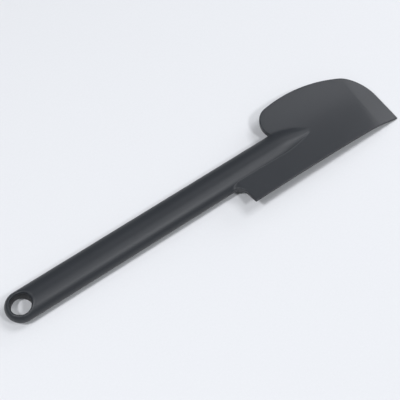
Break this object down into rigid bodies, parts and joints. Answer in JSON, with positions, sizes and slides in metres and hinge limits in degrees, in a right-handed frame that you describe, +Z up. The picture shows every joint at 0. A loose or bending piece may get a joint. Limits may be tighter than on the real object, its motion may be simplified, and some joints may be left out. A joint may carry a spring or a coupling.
{
  "type": "heat-resistant spatula",
  "caption": "Seamless silicone kitchen spatula: oval handle with a hang hole, and a thin dished blade with a straight edge, a curved edge and a bent scraping lip.",
  "frame": {"origin": "centre of the object's box, on the table that it lies on", "axes": "+X from the hang hole to the blade's tip, +Y towards the curved edge, +Z up from the table"},
  "size_m": [0.25, 0.0472, 0.012],
  "materials": {
    "silicone": "satin-matte moulded silicone",
    "filled_nylon": "matte glass-filled nylon",
    "spring_steel": "rolled stainless strip"
  },
  "bodies": {
    "root": {"silicone_body": "silicone", "handle_core": "filled_nylon", "blade_leaf": "spring_steel"}
  },
  "joints": []
}
